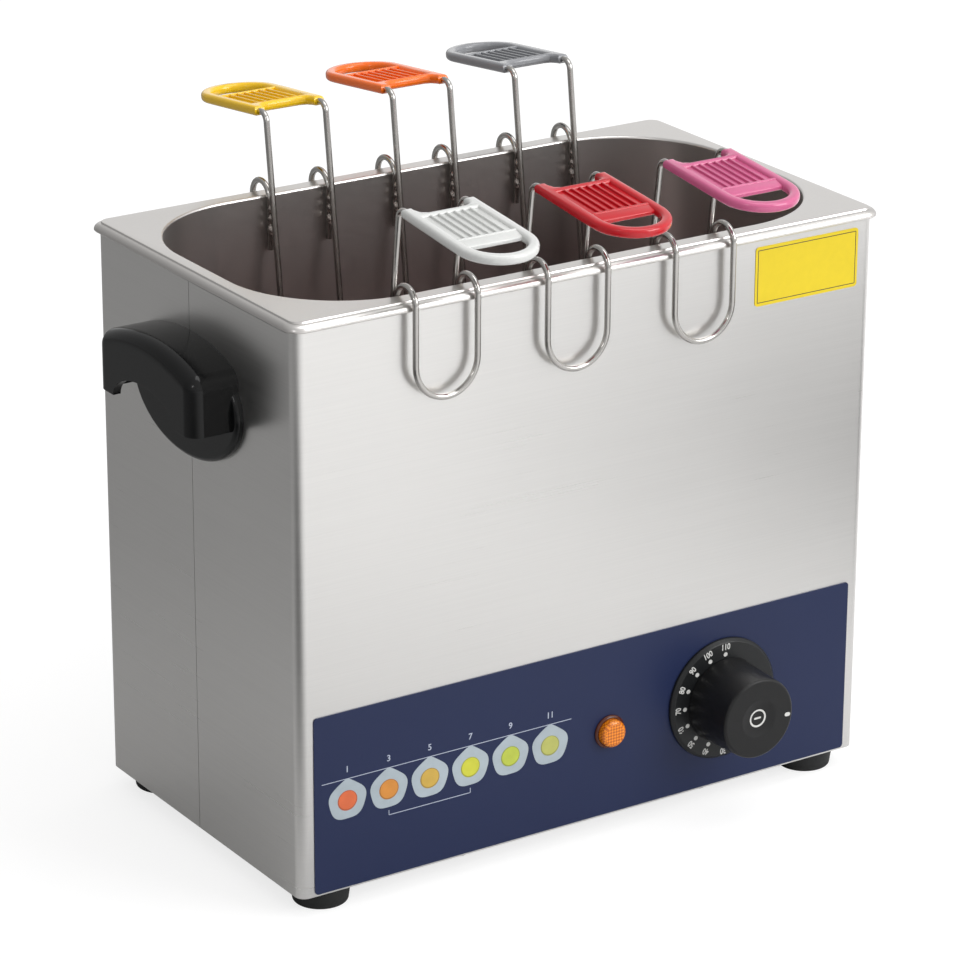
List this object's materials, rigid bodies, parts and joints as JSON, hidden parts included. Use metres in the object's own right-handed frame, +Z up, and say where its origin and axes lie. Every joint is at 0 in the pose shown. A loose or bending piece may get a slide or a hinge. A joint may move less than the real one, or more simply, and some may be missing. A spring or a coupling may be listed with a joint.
{
  "type": "egg boiler",
  "caption": "Countertop commercial egg boiler: rectangular steel water tank in a sheet casing with a dial thermostat, side handles and coloured lift-out wire egg holders hooked over the rim.",
  "frame": {"origin": "on the worktop under the middle of the casing, at the underside of the feet", "axes": "+Z up; -Y towards the control panel and the user; +X to the user's right, along the casing's long side"},
  "size_m": [0.374, 0.3086, 0.3355],
  "materials": {
    "casing_steel": "satin",
    "tank_steel": "satin",
    "galvanised_steel": "satin",
    "screw_steel": "bright",
    "wire_steel": "bright",
    "foot_rubber": "matte",
    "black_plastic": "satin",
    "panel_film": "satin",
    "label_film": "satin",
    "amber_lens": "gloss",
    "phenolic": "matte",
    "terminal_plastic": "matte",
    "copper_tube": "bright",
    "brass": "bright",
    "yellow_plastic": "gloss",
    "orange_plastic": "gloss",
    "grey_plastic": "gloss",
    "white_plastic": "gloss",
    "red_plastic": "gloss",
    "pink_plastic": "gloss"
  },
  "bodies": {
    "casing": {"front_shell": "casing_steel", "rear_shell": "casing_steel", "base_plate": "galvanised_steel", "tank": "tank_steel", "handle_left": "black_plastic", "handle_right": "black_plastic", "handle_screws": "screw_steel", "control_panel": "panel_film", "blank_label": "label_film", "dial_bezel": "black_plastic", "thermostat_capillary": "copper_tube", "bulb_clip": "galvanised_steel", "heating_element": "wire_steel", "thermal_cutout": "phenolic", "terminal_block": "terminal_plastic", "earth_stud": "brass", "base_screws": "screw_steel", "foot_screws": "screw_steel", "foot_front_left": "foot_rubber", "foot_front_right": "foot_rubber", "foot_rear_left": "foot_rubber", "foot_rear_right": "foot_rubber", "lamp_body": "black_plastic", "lamp_lens": "amber_lens", "thermostat_body": "galvanised_steel", "thermostat_screws": "screw_steel", "thermostat_bulb": "copper_tube", "element_clamps": "galvanised_steel", "clamp_studs": "screw_steel", "gland_body": "black_plastic", "gland_cap": "black_plastic", "gland_locknut": "black_plastic"},
    "knob": {"knob": "black_plastic", "thermostat_shaft": "screw_steel"},
    "white_holder": {"white_holder_frame": "wire_steel", "white_holder_hook": "wire_steel", "white_holder_ring": "wire_steel", "white_holder_grip": "white_plastic"},
    "red_holder": {"red_holder_frame": "wire_steel", "red_holder_hook": "wire_steel", "red_holder_ring": "wire_steel", "red_holder_grip": "red_plastic"},
    "pink_holder": {"pink_holder_frame": "wire_steel", "pink_holder_hook": "wire_steel", "pink_holder_ring": "wire_steel", "pink_holder_grip": "pink_plastic"},
    "yellow_holder": {"yellow_holder_frame": "wire_steel", "yellow_holder_hook": "wire_steel", "yellow_holder_ring": "wire_steel", "yellow_holder_grip": "yellow_plastic"},
    "orange_holder": {"orange_holder_frame": "wire_steel", "orange_holder_hook": "wire_steel", "orange_holder_ring": "wire_steel", "orange_holder_grip": "orange_plastic"},
    "grey_holder": {"grey_holder_frame": "wire_steel", "grey_holder_hook": "wire_steel", "grey_holder_ring": "wire_steel", "grey_holder_grip": "grey_plastic"}
  },
  "joints": [
    {"name": "thermostat_turn", "type": "hinge", "parent": "casing", "child": "knob", "pos_m": [0.0775, -0.0949, 0.0565], "axis": [0, 1, 0], "range_deg": [0, 250]},
    {"name": "white_holder_lift", "type": "slide", "parent": "casing", "child": "white_holder", "axis": [0, 0, 1], "range_m": [0, 0.16]},
    {"name": "red_holder_lift", "type": "slide", "parent": "casing", "child": "red_holder", "axis": [0, 0, 1], "range_m": [0, 0.16]},
    {"name": "pink_holder_lift", "type": "slide", "parent": "casing", "child": "pink_holder", "axis": [0, 0, 1], "range_m": [0, 0.16]},
    {"name": "yellow_holder_lift", "type": "slide", "parent": "casing", "child": "yellow_holder", "axis": [0, 0, 1], "range_m": [0, 0.16]},
    {"name": "orange_holder_lift", "type": "slide", "parent": "casing", "child": "orange_holder", "axis": [0, 0, 1], "range_m": [0, 0.16]},
    {"name": "grey_holder_lift", "type": "slide", "parent": "casing", "child": "grey_holder", "axis": [0, 0, 1], "range_m": [0, 0.16]}
  ]
}
